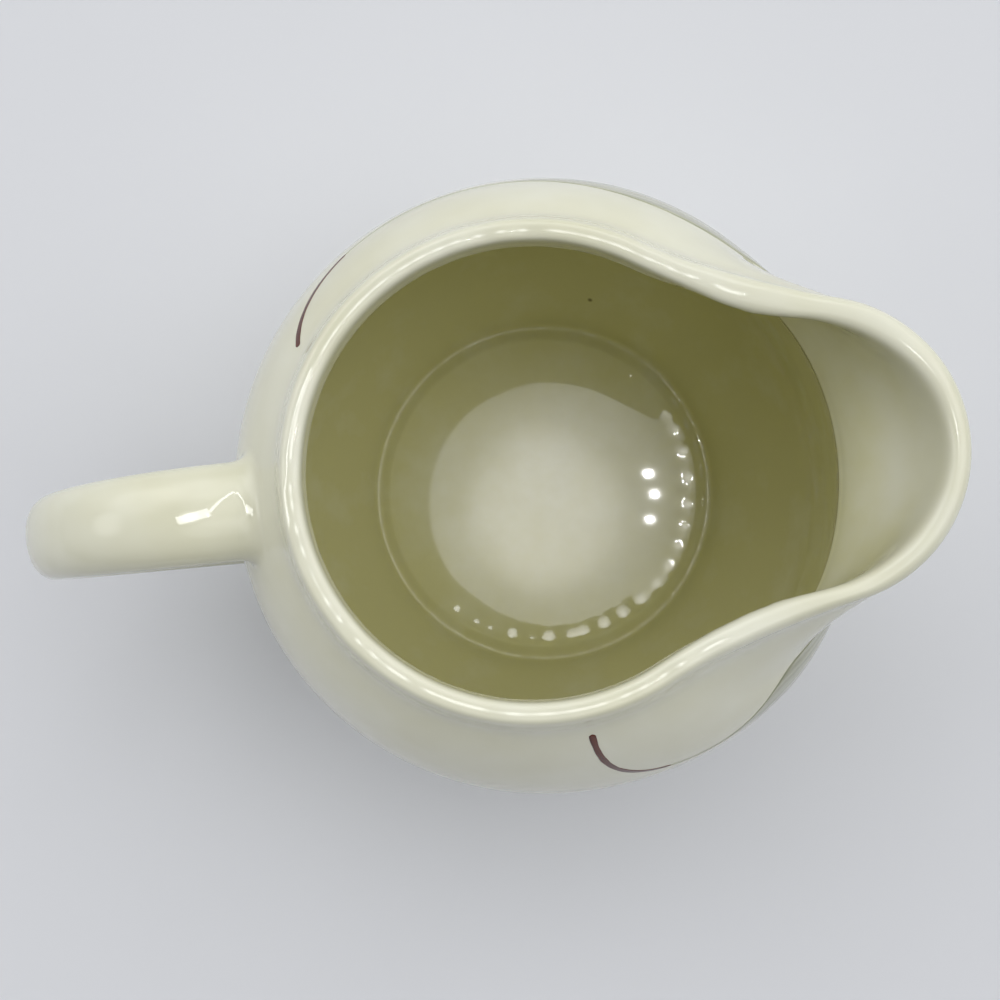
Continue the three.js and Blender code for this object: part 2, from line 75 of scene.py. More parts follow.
# Range of size and phase of the waves that make a turned edge uneven.
WAVE_SIZES = (0.4, 1.0)
WAVE_PHASES = (0.0, 6.28)

# Share of its radius at which the handles of a curve make a quarter circle.
ROUND = 0.55

# Iron speck on the wall inside, in millimetres from the pot's axis.
SPECK = (10.68, 32.7, 14.93)


def linear(code: str) -> tuple[float, float, float, float]:
    """Turn an sRGB hex colour into linear light.

    Args:
        code: Six hex digits after a hash sign.

    Returns:
        Red, green, blue and an alpha of one.
    """
    parts = [int(code[i : i + 2], 16) / 255 for i in (1, 3, 5)]
    red, green, blue = (p / 12.92 if p <= 0.04045 else ((p + 0.055) / 1.055) ** 2.4 for p in parts)
    return red, green, blue, 1.0


def per_mm(size: float) -> float:
    """Texture scale at which a pattern repeats about every size millimetres."""
    return 1.0 / (size * MM)


def feed(tree: Tree, node: Node, inputs: dict) -> None:
    """Set or link a node's inputs.

    Args:
        tree: Node tree that holds the node.
        node: Node to feed.
        inputs: Socket name or number to a value, or to the output socket that feeds it.
    """
    for name, value in inputs.items():
        if isinstance(value, Socket):
            tree.links.new(value, node.inputs[name])
        else:
            node.inputs[name].default_value = value


def add_node(tree: Tree, kind: str, out: str, inputs: dict | None = None, **settings) -> Socket:
    """Add one node, with its settings and its links.

    Args:
        tree: Node tree that takes the node.
        kind: Blender's name of the node type, after ShaderNode.
        out: Name of the output that is wanted.
        inputs: What the node is fed.
        settings: Properties of the node itself.

    Returns:
        That output of the new node.
    """
    node = tree.nodes.new(f"ShaderNode{kind}")
    for name, value in settings.items():
        setattr(node, name, value)
    feed(tree, node, inputs or {})
    return node.outputs[out]


def fresh_material(name: str) -> tuple[Material, Tree, Node]:
    """Make a material that has no finish yet.

    Args:
        name: Name of the material.

    Returns:
        The material, its node tree and its shader.
    """
    material = bpy.data.materials.new(name)
    material.use_nodes = True
    return material, material.node_tree, material.node_tree.nodes["Principled BSDF"]


def shares(count: int) -> Array:
    """Even shares from 0 to 1."""
    return np.linspace(0.0, 1.0, count)


def circle(count: int) -> Array:
    """Even angles round a full turn."""
    return np.linspace(0.0, 2 * math.pi, count, endpoint=False)


def coords(*parts: Array | float) -> Array:
    """Points from their coordinates, each an array or one number for all."""
    return np.stack(np.broadcast_arrays(*parts), axis=-1)


def polar(radius: Array, angle: Array, height: Array) -> Array:
    """Points from their radius, angle and height."""
    return coords(radius * np.cos(angle), radius * np.sin(angle), height)


def lengths(line: Array) -> Array:
    """Length of a line up to each of its points."""
    steps = np.linalg.norm(np.diff(line, axis=0), axis=1)
    return np.concatenate([[0.0], np.cumsum(steps)])


def smooth_step(low: float, high: float, value: Array) -> Array:
    """Rise smoothly from 0 at low to 1 at high."""
    share = np.clip((np.asarray(value, float) - low) / (high - low), 0.0, 1.0)
    return share * share * (3.0 - 2.0 * share)


def bezier(points: Sequence[Sequence[float] | Array], share: Array) -> Array:
    """Points on a Bezier curve of any degree, or on many such curves at once.

    Args:
        points: Control points, or one array of them per curve.
        share: Places along the curve from 0 to 1.

    Returns:
        One point, or one array of points, per share.
    """
    stack = [np.asarray(p, float)[None] for p in points]
    at = np.asarray(share, float).reshape(-1, *[1] * (stack[0].ndim - 1))
    while len(stack) > 1:
        stack = [a + (b - a) * at for a, b in zip(stack, stack[1:])]
    return stack[0]


def uneven(angle: Array, orders: range, size: float, seed: int) -> Array:
    """Small irregular waves round a turned pot.

    Args:
        angle: Angles round the pot.
        orders: Numbers of waves in one turn.
        size: Typical height of the waves.
        seed: Start of the random choice of phases.

    Returns:
        Height of the waves at each angle.
    """
    chance = np.random.default_rng(seed)
    waves = sum(
        chance.uniform(*WAVE_SIZES) * np.sin(k * angle + chance.uniform(*WAVE_PHASES))
        for k in orders
    )
    return size * waves / np.sqrt(np.mean(waves**2))


def show(name: str, data: bpy.types.ID) -> Object:
    """Make an object of a mesh, lamp or camera.

    Args:
        name: Name of the object.
        data: What the object shows.

    Returns:
        The object, linked to the scene.
    """
    thing = bpy.data.objects.new(name, data)
    bpy.context.scene.collection.objects.link(thing)
    return thing


def make_piece(name: str, vertices: Array, faces: list, material: Material) -> Object:
    """Make a smooth mesh object whose faces look outwards.

    Args:
        name: Name of the piece.
        vertices: Points in millimetres in the row frame.
        faces: Tuples of vertex numbers.
        material: Finish of the whole piece.

    Returns:
        The object, linked to the scene.
    """
    mesh = bpy.data.meshes.new(name)
    mesh.from_pydata((np.asarray(vertices) * MM).tolist(), [], faces)
    work = bmesh.new()
    work.from_mesh(mesh)
    bmesh.ops.recalc_face_normals(work, faces=work.faces)
    work.to_mesh(mesh)
    work.free()
    mesh.shade_smooth()
    mesh.materials.append(material)
    return show(name, mesh)


def grid_faces(
    rows: int, columns: int, round_columns: bool, round_rows: bool
) -> list[tuple[int, ...]]:
    """Quads over a grid of vertices stored row after row.

    Args:
        rows: Number of rows.
        columns: Number of vertices in a row.
        round_columns: Whether each row closes on itself.
        round_rows: Whether the last row joins the first.

    Returns:
        Quads as tuples of vertex numbers.
    """
    faces = []
    for i in range(rows if round_rows else rows - 1):
        for j in range(columns if round_columns else columns - 1):
            below, above = i * columns, (i + 1) % rows * columns
            right = (j + 1) % columns
            faces.append((below + j, below + right, above + right, above + j))
    return faces


def settle(piece: Object, slot: str, *nodes: str) -> None:
    """Ride a piece on the pot, in place of its solids.

    Args:
        piece: The finished object.
        slot: Material slot of the record; not used.
        nodes: Solids that the piece stands for.
    """
    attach(piece, BODY)
    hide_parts(*nodes)
    LOG.info("%s: %d faces", piece.name, len(piece.data.polygons))


@dataclass(frozen=True)
class PotForm:
    """Turned pot with a lip drawn out of it, as a surface over an angle and a height."""

    height: float = 88.0
    base_radius: float = 31.0
    heel_lean: float = 1.5
    belly_radius: float = 45.76
    belly_height: float = 37.0
    belly_lean: float = 0.8
    lean_angle: float = -0.9
    lean_low: float = 35.2
    lean_high: float = 22.0
    side_swell: float = 1.4
    side_angle: float = -0.75
    side_spread: float = 0.42
    side_height: float = 57.0
    side_rise: float = 18.0
    neck_radius: float = 32.2
    neck_fillet: float = 6.0
    rim_radius: float = 32.2
    rim_inside: float = 28.4
    rim_depth: float = 3.2
    wall: float = 3.0
    foot_height: float = 3.0
    floor_height: float = 8.0
    heel_share: float = 0.2
    lower_share: float = 0.48
    shoulder_share: float = 0.35
    crest_share: float = 0.23
    lip_reach: float = 53.8
    lip_tip_radius: float = 19.0
    lip_flank_radius: float = 90.0
    throat_depth: float = 20.0
    throat_swell: float = 2.2
    swell_depth: float = 22.0
    swell_spread: float = 2.2
    least_swell: float = 1e-4
    lip_flare: float = 1.1
    lip_tip_flare: float = 0.7
    throat_round: float = 0.4
    upper_roll: float = 2.8
    lower_roll: float = 1.0
    flank_angle: float = 0.48
    flank_spread: float = 0.24
    tip_thinning: float = 0.3
    tip_spread: float = 0.22
    hollow: float = 1.0
    hollow_spread: float = 0.2
    hollow_height: float = 79.5
    hollow_rise: float = 4.5
    thick_start: float = 6.0
    slope_reach: float = 1.0
    slope_step: float = 0.05
    samples: int = 400

    @property
    def neck_height(self) -> float:
        """Height at which the rim's bead begins."""
        return self.height - self.rim_depth

    @property
    def throat_height(self) -> float:
        """Height of the edge where the lip leaves the wall."""
        return self.height - self.throat_depth

    @cached_property
    def outline(self) -> Array:
        """Outline of the turned pot, from base to neck.

        Returns:
            Rows of height, outside radius and slope.
        """
        base = (self.base_radius, self.foot_height)
        belly = (self.belly_radius, self.belly_height)
        span = self.belly_height - self.foot_height
        fall = self.neck_fillet * math.sqrt(0.5)
        crest = (self.neck_radius + self.neck_fillet - fall, self.neck_height - fall)
        rise = crest[1] - self.belly_height
        run = self.crest_share * rise
        share = shares(self.samples)
        heel = (self.base_radius + self.heel_lean, self.foot_height + self.heel_share * span)
        under = (self.belly_radius, self.belly_height - self.lower_share * span)
        over = (self.belly_radius, self.belly_height + self.shoulder_share * rise)
        lower = bezier([base, heel, under, belly], share)
        shoulder = bezier([belly, over, (crest[0] + run, crest[1] - run), crest], share)
        turn = math.pi * (1.25 - 0.25 * share)
        neck = self.neck_fillet * coords(1 + np.cos(turn), np.sin(turn))
        neck += (self.neck_radius, self.neck_height)
        curve = np.vstack([lower, shoulder[1:], neck[1:]])
        slope = np.gradient(curve[:, 0], curve[:, 1])
        return np.column_stack([curve[:, 1], curve[:, 0], slope])

    def turned_radius(self, height: Array) -> Array:
        """Outside radius without the lip."""
        return np.interp(height, self.outline[:, 0], self.outline[:, 1])

    def slope(self, height: Array) -> Array:
        """Change of the outside radius with height."""
        return np.interp(height, self.outline[:, 0], self.outline[:, 2])

    def lip_outline(
        self, angle: Array, body: Array, tip: Array, reach: Array
    ) -> Array:
        """Radius of the lip's outline: body circle, hollow flank, round front.

        Args:
            angle: Angles from the lip's middle.
            body: Radius of the body circle.
            tip: Radius of the round front.
            reach: Distance from the axis to the front.

        Returns:
            Radius at each angle.
        """
        centre = np.maximum(reach - tip, 1e-6)
        body_span = body + self.lip_flank_radius
        tip_span = tip + self.lip_flank_radius
        flank_x = (body_span**2 - tip_span**2 + centre**2) / (2 * centre)
        flank_y = np.sqrt(np.maximum(body_span**2 - flank_x**2, 0.0))
        start = np.arctan2(flank_y, flank_x)
        part = tip / tip_span
        end = np.arctan2(part * flank_y, centre + part * (flank_x - centre))
        turn = np.abs(angle)
        aside = (centre * np.sin(turn)) ** 2
        front = centre * np.cos(turn) + np.sqrt(np.maximum(tip**2 - aside, 0.0))
        along = flank_x * np.cos(turn) + flank_y * np.sin(turn)
        past = along**2 - body_span**2 + self.lip_flank_radius**2
        flank = along - np.sqrt(np.maximum(past, 0.0))
        return np.where(turn >= start, body, np.where(turn <= end, front, flank))

    def sharp_pull(self, angle: Array, height: Array) -> Array:
        """How far the wall is drawn out, with a sharp throat edge.

        Args:
            angle: Angles from the lip's middle.
            height: Heights over the table.

        Returns:
            Distance beyond the turned pot.
        """
        height = np.minimum(height, self.neck_height)
        body = self.turned_radius(height)
        share = np.clip((height - self.throat_height) / self.swell_depth + 1.0, 0.0, 1.0)
        swell = self.throat_swell * share**2
        low = self.lip_outline(angle, body, body - self.swell_spread * swell, body + swell)
        low = np.where(swell > self.least_swell, low, body)
        throat = float(self.turned_radius(self.throat_height))
        span = self.neck_height - self.throat_height
        rise = np.clip((height - self.throat_height) / span, 0.0, 1.0)
        throat_tip = throat - self.swell_spread * self.throat_swell
        throat_reach = throat + self.throat_swell
        neck_reach = self.lip_reach - (self.rim_radius - self.neck_radius)
        reach = throat_reach + (neck_reach - throat_reach) * rise**self.lip_flare
        tip = throat_tip + (self.lip_tip_radius - throat_tip) * rise**self.lip_tip_flare
        high = self.lip_outline(angle, body, tip, reach)
        return np.where(height > self.throat_height, high, low) - body

    def pull(self, angle: Array, height: Array) -> Array:
        """How far the wall is drawn out, with the throat edge a little rounded.

        Args:
            angle: Angles from the lip's middle.
            height: Heights over the table.

        Returns:
            Distance beyond the turned pot.
        """
        step = self.throat_round
        middle = self.sharp_pull(angle, height)
        sides = self.sharp_pull(angle, height - step) + self.sharp_pull(angle, height + step)
        return 0.5 * middle + 0.25 * sides

    def lean(self, angle: Array, height: Array) -> Array:
        """How far the belly bulges out of true.

        Args:
            angle: Angles from the lip's middle.
            height: Heights over the table.

        Returns:
            Distance beyond the turned pot.
        """
        low = smooth_step(self.floor_height, self.floor_height + self.lean_low, height)
        high = smooth_step(self.neck_height - self.lean_high, self.neck_height, height)
        across = (angle - self.side_angle) / self.side_spread
        up = (height - self.side_height) / self.side_rise
        side = self.side_swell * np.exp(-(across**2) - up**2)
        return (self.belly_lean * low * np.cos(angle - self.lean_angle) + side) * (1.0 - high)

    def radius(self, angle: Array, height: Array) -> Array:
        """Outside radius of the finished wall."""
        return self.turned_radius(height) + self.pull(angle, height) + self.lean(angle, height)

    def steepness(self, angle: Array, height: Array) -> Array:
        """Change of the finished wall's radius with height."""
        step = self.slope_step
        return (self.radius(angle, height + step) - self.radius(angle, height - step)) / (2 * step)

    def roll(self, angle: Array) -> Array:
        """How far the rim rolls over into the lip on the lip's flanks."""
        size = np.where(angle > 0.0, self.upper_roll, self.lower_roll)
        return size * np.exp(-(((np.abs(angle) - self.flank_angle) / self.flank_spread) ** 2))

    def front(self, angle: Array) -> Array:
        """How near an angle is to the lip's front, from 0 to 1."""
        return np.exp(-((angle / self.tip_spread) ** 2))

    def in_hollow(self, angle: Array, height: Array) -> Array:
        """How near a place inside is to the middle of the lip's hollow, from 0 to 1."""
        up = (height - self.hollow_height) / self.hollow_rise
        return np.exp(-((angle / self.hollow_spread) ** 2) - up**2)

    def inside(self, angle: Array, height: Array) -> Array:
        """Inside radius of the finished wall, hollow in the lip and thicker at the neck.

        Args:
            angle: Angles from the lip's middle.
            height: Heights over the table.

        Returns:
            Radius one wall in from the outside, square to it.
        """
        below = np.hypot(1.0, self.steepness(angle, height - self.slope_reach))
        above = np.hypot(1.0, self.steepness(angle, height + self.slope_reach))
        hollow = self.hollow * self.in_hollow(angle, height)
        spare = self.neck_radius - self.wall - self.rim_inside
        thick = spare * smooth_step(self.throat_height + self.thick_start, self.neck_height, height)
        return self.radius(angle, height) - 0.5 * self.wall * (below + above) + hollow - thick

    def over_wall(self, angle: Array, height: Array, distance: float) -> Array:
        """Points a distance out from the outside.

        Args:
            angle: Angles from the lip's middle.
            height: Heights over the table.
            distance: How far outside the wall, square to its section.

        Returns:
            One point per angle and height, from the pot's axis.
        """
        slope = self.steepness(angle, height)
        length = np.hypot(1.0, slope)
        radius = self.radius(angle, height) + distance / length
        return polar(radius, angle, height - distance * slope / length)


@dataclass(frozen=True)
class FiredGlaze:
    """Tin-cream stoneware glaze, dipped and fired glossy.

    The eye sees a warm cream with a wet gloss, slow clouds where the coat runs thicker, an olive
    cast inside that is partly pooled glaze and partly painted shade, and the odd iron speck.
    """

    name: str = "fired_cream_glaze"
    thin: str = "#E6E6D4"
    thick: str = "#DEDDC4"
    # Olive of the inside: pooled glaze and painted shade deep in the pot.
    pooled_and_shaded: str = "#D5D29E"
    iron: str = "#5A4A30"
    cloud_size: float = 22.0
    blotch_size: float = 11.0
    blotch_drift: float = 0.3
    ripple_size: float = 24.0
    ripple_depth: float = 0.1
    pit_size: float = 3.0
    pit_depth: float = 0.03
    pit_strength: float = 0.05
    roughness: Span = (0.015, 0.03)
    ior: float = 1.52
    specks: tuple[tuple[float, float, float], ...] = ()
    speck_radius: float = 0.55
    speck_core: float = 0.3
    speck_strength: float = 0.8

    def colour(self, tree: Tree, place: Socket, cloud: Socket) -> Socket:
        """Add the colour: clouded cream, olive inside as pooled glaze and painted shade, iron specks.

        Args:
            tree: Nodes of the material.
            place: Coordinates of the object.
            cloud: How thick the coat is.

        Returns:
            The colour.
        """
        veil = add_node(tree, "MapRange", "Result", {"Value": cloud, **NOISE_CORE})
        coat = {"Factor": veil, "A": linear(self.thin), "B": linear(self.thick)}
        cream = add_node(tree, "Mix", "Result", coat, data_type="RGBA")
        # Share of olive on the inside, painted shade and pooled glaze together, stored on the pot.
        pool_and_shade = add_node(tree, "Attribute", "Fac", attribute_name="pool_and_shade")
        grain = {"Vector": place, "Scale": per_mm(self.blotch_size), "Detail": 4.0, "Roughness": 0.6}
        blotch = add_node(tree, "TexNoise", "Fac", grain)
        drift = {"To Min": -self.blotch_drift, "To Max": self.blotch_drift}
        depth = add_node(tree, "MapRange", "Result", {"Value": blotch, **NOISE_WIDE, **drift})
        for work in ("ADD", "MULTIPLY"):
            both = {0: depth, 1: pool_and_shade}
            depth = add_node(tree, "Math", "Value", both, operation=work, use_clamp=True)
        # Cream turned olive by the painted shade and pooled glaze, with random blotches.
        olive = {"Factor": depth, "A": cream, "B": linear(self.pooled_and_shaded)}
        colour = add_node(tree, "Mix", "Result", olive, data_type="RGBA")
        fade = {
            "From Min": self.speck_core * self.speck_radius * MM,
            "From Max": self.speck_radius * MM,
            "To Min": self.speck_strength,
            "To Max": 0.0,
        }
        for speck in self.specks:
            spot = {0: place, 1: Vector(speck) * MM}
            away = add_node(tree, "VectorMath", "Value", spot, operation="DISTANCE")
            stain = add_node(tree, "MapRange", "Result", {"Value": away, **fade})
            rust = {"Factor": stain, "A": colour, "B": linear(self.iron)}
            colour = add_node(tree, "Mix", "Result", rust, data_type="RGBA")
        return colour

    def skin(self, tree: Tree, place: Socket) -> Socket:
        """Add the relief: a slow ripple of the coat with faint pits on it.

        Args:
            tree: Nodes of the material.
            place: Coordinates of the object.

        Returns:
            The bent normal.
        """
        ripple, pits = (
            add_node(tree, "TexNoise", "Fac", {"Vector": place, "Scale": per_mm(size), "Detail": 1.0})
            for size in (self.ripple_size, self.pit_size)
        )
        wave = {"Height": ripple, "Strength": 1.0, "Distance": self.ripple_depth * MM}
        fine = {"Height": pits, "Strength": self.pit_strength, "Distance": self.pit_depth * MM}
        fine["Normal"] = add_node(tree, "Bump", "Normal", wave)
        return add_node(tree, "Bump", "Normal", fine)

    def make(self) -> Material:
        """Make the material.

        Returns:
            A glossy dielectric over a clouded cream body.
        """
        material, tree, shader = fresh_material(self.name)
        place = add_node(tree, "TexCoord", "Object")
        coat = {"Vector": place, "Scale": per_mm(self.cloud_size), "Detail": 3.0, "Roughness": 0.55}
        cloud = add_node(tree, "TexNoise", "Fac", coat)
        gloss = {"To Min": self.roughness[0], "To Max": self.roughness[1]}
        look = {
            "Base Color": self.colour(tree, place, cloud),
            "Roughness": add_node(
                tree, "MapRange", "Result", {"Value": cloud, **NOISE_WIDE, **gloss}
            ),
            "Normal": self.skin(tree, place),
            "IOR": self.ior,
        }
        feed(tree, shader, look)
        return material


@dataclass(frozen=True)
class BareClay:
    """Unglazed stoneware, turned and wiped before firing.

    The eye sees a dry buff ring, clouded lighter and browner, with a fine grit.
    """

    name: str = "bare_stoneware_clay"
    light: str = "#CDBD9F"
    dark: str = "#A8916E"
    grit_size: float = 0.7
    grit_depth: float = 0.08
    grit_strength: float = 0.7
    stain_size: float = 9.0
    roughness: float = 0.85

    def make(self) -> Material:
        """Make the material.

        Returns:
            A matt clay with grit.
        """
        material, tree, shader = fresh_material(self.name)
        place = add_node(tree, "TexCoord", "Object")
        blots = {"Vector": place, "Scale": per_mm(self.stain_size), "Detail": 6.0}
        stain = add_node(tree, "TexNoise", "Fac", blots)
        body = {"Factor": stain, "A": linear(self.light), "B": linear(self.dark)}
        grains = {"Vector": place, "Scale": per_mm(self.grit_size), "Detail": 4.0}
        grit = add_node(tree, "TexNoise", "Fac", grains)
        tooth = {"Height": grit, "Strength": self.grit_strength, "Distance": self.grit_depth * MM}
        look = {
            "Base Color": add_node(tree, "Mix", "Result", body, data_type="RGBA"),
            "Normal": add_node(tree, "Bump", "Normal", tooth),
            "Roughness": self.roughness,
        }
        feed(tree, shader, look)
        return material


@dataclass(frozen=True)
class BrushedOxide:
    """Oxide brushed on by hand under the clear gloss.

    The eye sees streaks along the stroke, a paler wash where the brush ran dry, and a gloss a
    little softer than that of the glaze around it.
    """

    name: str
    full: str
    washed: str
    streak_width: float = 0.35
    streak_length: float = 14.0
    wash: Span = (0.35, 0.7)
    roughness: Span = (0.1, 0.2)
    ior: float = 1.52

    def make(self) -> Material:
        """Make the material.

        Returns:
            A glossy streaked paint.
        """
        material, tree, shader = fresh_material(self.name)
        stroke = add_node(tree, "UVMap", "UV", uv_map="stroke")
        scale = (1 / self.streak_length, 1 / self.streak_width, 1.0)
        drawn = add_node(tree, "Mapping", "Vector", {"Vector": stroke, "Scale": scale})
        hairs = {"Vector": drawn, "Scale": 1.0, "Detail": 3.0}
        streak = add_node(tree, "TexNoise", "Fac", hairs)
        thin = {"Value": streak, "From Min": self.wash[0], "From Max": self.wash[1]}
        wash = add_node(tree, "MapRange", "Result", thin)
        paint = {"Factor": wash, "A": linear(self.full), "B": linear(self.washed)}
        gloss = {"To Min": self.roughness[0], "To Max": self.roughness[1]}
        look = {
            "Base Color": add_node(tree, "Mix", "Result", paint, data_type="RGBA"),
            "Roughness": add_node(
                tree, "MapRange", "Result", {"Value": streak, **NOISE_WIDE, **gloss}
            ),
            "IOR": self.ior,
        }
        feed(tree, shader, look)
        return material


@dataclass(frozen=True)
class PaleCard:
    """Uncoated card, rolled smooth.

    The eye sees an even matt grey-white with the faintest clouds. Real fibres are too fine to
    show, so the clouds are drawn far coarser.
    """

    name: str = "matt_white_card"
    pale: str = "#D9DBE0"
    fibre_size: float = 60.0
    fibre_depth: float = 0.015
    roughness: float = 0.7

    def make(self) -> Material:
        """Make the material.

        Returns:
            A matt card.
        """
        material, tree, shader = fresh_material(self.name)
        place = add_node(tree, "TexCoord", "Object")
        clouds = {"Vector": place, "Scale": per_mm(self.fibre_size), "Detail": 2.0}
        fibre = add_node(tree, "TexNoise", "Fac", clouds)
        base = np.array(linear(self.pale)[:3])
        dark, light = (
            (*(base * level), 1.0) for level in (1.0 - self.fibre_depth, 1.0 + self.fibre_depth)
        )
        sheet = {"Factor": fibre, "A": dark, "B": light}
        colour = add_node(tree, "Mix", "Result", sheet, data_type="RGBA")
        feed(tree, shader, {"Base Color": colour, "Roughness": self.roughness})
        return material


@dataclass
class Vessel:
    """Pot wall with rim, lip, floor and glazed underside, as one skin."""

    form: PotForm
    axis: Array
    turns: int = 288
    row_step: float = 0.9
    rim_steps: int = 10
    lip_rows: int = 16
    neck_blend: float = 2.3
    neck_slope: float = 0.28
    neck_inset: float = 0.6
    overhang_spread: float = 0.8
    overhang_power: int = 6
    bead_drop: float = 1.9
    bead_rise: float = 1.8
    bead_over: float = 2.0
    join_height: float = 85.2
    lip_join: float = 6.0
    lip_spread: float = 0.66
    lip_power: int = 4
    join_probe: float = 0.5
    rim_wave: float = 0.04
    rim_orders: range = range(9, 40)
    rim_seed: int = 2
    neck_pull: float = 0.4
    roll_drop: float = 0.15
    roll_pull: float = 0.45
    # Painted shade and pooled glaze rising over the rim's inner roll.
    roll_pool_and_shade: Span = (0.4, 0.9)
    ring_wave: float = 0.02
    ring_orders: range = range(26, 49)
    ridge_spread: float = 1.6
    ridge_seed: int = 5
    groove_wave: float = 0.05
    groove_spread: float = 1.5
    groove_offset: float = 0.6
    groove_seed: int = 6
    cove_top: float = 12.0
    cove_pull: float = 3.6
    moat_radius: float = 29.4
    moat_depth: float = 0.6
    moat_pull: float = 1.2
    crest_radius: float = 27.2
    crest_slope: float = 0.024
    crest_round: float = 1.0
    dish_radius: float = 24.4
    heel_round: float = 0.9
    # Olive painted shade and pooled glaze: less on the lip, with a painted highlight in its hollow,
    # and less on the floor, which is painted lighter as if lit through the mouth.
    lip_pool_and_shade: float = 0.7
    floor_pool_and_shade: float = 0.76
    lip_painted_highlight: float = 0.6
    throat_fade: Span = (-14.0, 2.0)
    floor_fade: Span = (-6.0, 2.0)
    middle: float = 0.4
    edge_rows: int = 9
    edge_reach: float = 3.0
    edge_clear: float = 1.2
    base_rows: int = 14
    heel_rows: int = 6
    curve_rows: int = 13
    floor_rows: int = 22

    def wall_rows(self, low: float, high: float) -> Array:
        """Heights of the wall's rows, close together at the throat edge.

        Args:
            low: First height.
            high: Last height.

        Returns:
            Heights from low to high.
        """
        form = self.form
        reach = self.edge_reach * form.throat_round
        edge = form.throat_height + np.linspace(-reach, reach, self.edge_rows)
        count = round((high - low) / self.row_step)
        rows = np.linspace(low, high, count + 1)
        rows = rows[np.abs(rows - form.throat_height) > self.edge_clear * reach]
        return np.sort(np.concatenate([rows, edge]))

    def underside(self) -> Array:
        """Rows from the middle of the base to the top of its rounded heel.

        Returns:
            Radius and height of each row.
        """
        form = self.form
        edge = form.base_radius - self.heel_round
        across = np.linspace(self.middle, edge, self.base_rows)
        flat = coords(across, form.foot_height)
        top = form.foot_height + self.heel_round
        end = (float(form.turned_radius(top)), top)
        corner = (form.base_radius, form.foot_height)
        heel = bezier([flat[-1], corner, end], shares(self.heel_rows))
        return np.vstack([flat, heel[1:]])

    def floor(self) -> Array:
        """Rows from the wall's foot, through the groove, to the floor's middle.

        Returns:
            Radius and height of each row.
        """
        form = self.form
        slope = float(form.slope(self.cove_top))
        inner = float(form.turned_radius(self.cove_top)) - form.wall * math.hypot(1.0, slope)
        foot = (inner, self.cove_top)
        moat = (self.moat_radius, form.floor_height - self.moat_depth)
        brow = self.crest_radius - self.crest_round
        ledge = form.floor_height + 0.5 * self.crest_slope * (brow - self.dish_radius)
        crest = (self.crest_radius, ledge + 0.5 * self.crest_slope * self.crest_round)
        dish = (self.dish_radius, form.floor_height)
        share = shares(self.curve_rows)
        leave = (foot[0] - self.cove_pull * slope, foot[1] - self.cove_pull)
        cove = bezier([foot, leave, (moat[0] + self.moat_pull, moat[1]), moat], share)
        climb = smooth_step(0, 1, share)
        rise = coords(
            moat[0] + (crest[0] - moat[0]) * share, moat[1] + (crest[1] - moat[1]) * climb
        )
        top = bezier([crest, (crest[0] - 0.5 * self.crest_round, crest[1]), (brow, ledge)], share)
        fall = bezier([(brow, ledge), (0.5 * (brow + dish[0]), dish[1]), dish], share)
        run = np.linspace(self.dish_radius, self.middle, self.floor_rows)[1:]
        return np.vstack([cove, rise[1:], top[1:], fall[1:], coords(run, form.floor_height)])

    def join(self, angles: Array) -> Array:
        """Height at which the rim's round runs into the wall inside, lower in the lip."""
        lip = np.exp(-((angles / self.lip_spread) ** self.lip_power))
        return self.join_height - self.lip_join * lip

    def rim(self, angles: Array) -> Array:
        """Rows from the neck over the rim's round to the wall inside.

        Args:
            angles: Angles round the pot.

        Returns:
            Radius and height for each row and angle.
        """
        form = self.form
        share = shares(self.rim_steps)
        body = 1.0 - np.exp(-((angles / self.overhang_spread) ** self.overhang_power))
        low = np.full_like(angles, form.neck_height - self.neck_blend)
        start = coords(form.radius(angles, low), low)
        lead = coords(form.steepness(angles, low), 1.0)
        outer = form.rim_radius + form.pull(angles, np.full_like(angles, form.neck_height))
        half = 0.5 * (form.rim_radius - form.rim_inside) - form.tip_thinning * form.front(angles)
        side = coords(outer - self.neck_inset * body, form.height - self.bead_drop)
        climb = coords(-self.neck_slope * body, 1.0)
        crown = coords(outer - half, side[:, 1] + self.bead_rise)
        brow = crown + coords(ROUND * (side[:, 0] - crown[:, 0]), 0.0)
        rise = self.neck_pull * self.neck_blend
        neck = bezier([start, start + rise * lead, side - rise * climb, side], share)
        bead = bezier([side, side + ROUND * self.bead_rise * climb, brow, crown], share)
        join = self.join(angles)
        wall = form.inside(angles, join)
        foot = coords(wall, join)
        below = form.inside(angles, join - self.join_probe)
        lean = coords((wall - below) / self.join_probe, 1.0)
        inward = coords(self.bead_over * half / half.max() + form.roll(angles), 0.0)
        depth = (crown[:, 1] - join)[:, None]
        share = shares(2 * self.rim_steps)
        edge = crown - inward
        drop = self.roll_drop * coords(0.0, depth[:, 0])
        roll = bezier([crown, edge, edge - drop, foot + self.roll_pull * depth * lean, foot], share)
        rows = np.concatenate([neck[1:], bead[1:], roll[1:]])
        swing = np.sin(np.linspace(0.0, math.pi, len(rows)))[:, None]
        waves = uneven(angles, self.rim_orders, self.rim_wave, self.rim_seed)
        rows[..., 1] += swing * (waves - waves.max())
        return rows

    def rings(self, floor: Array, angles: Array) -> Array:
        """Make the floor's turned ridge and groove a little uneven.

        Args:
            floor: Radius and height of the floor's rows.
            angles: Angles round the pot.

        Returns:
            Height for each row and angle.
        """
        from_ridge = (floor[:, :1] - self.crest_radius) / self.ridge_spread
        from_groove = (floor[:, :1] - self.moat_radius - self.groove_offset) / self.groove_spread
        ridge = uneven(angles, self.ring_orders, self.ring_wave, self.ridge_seed)
        groove = uneven(angles, self.ring_orders, self.groove_wave, self.groove_seed)
        return floor[:, 1:] + np.exp(-(from_ridge**2)) * ridge + np.exp(-(from_groove**2)) * groove

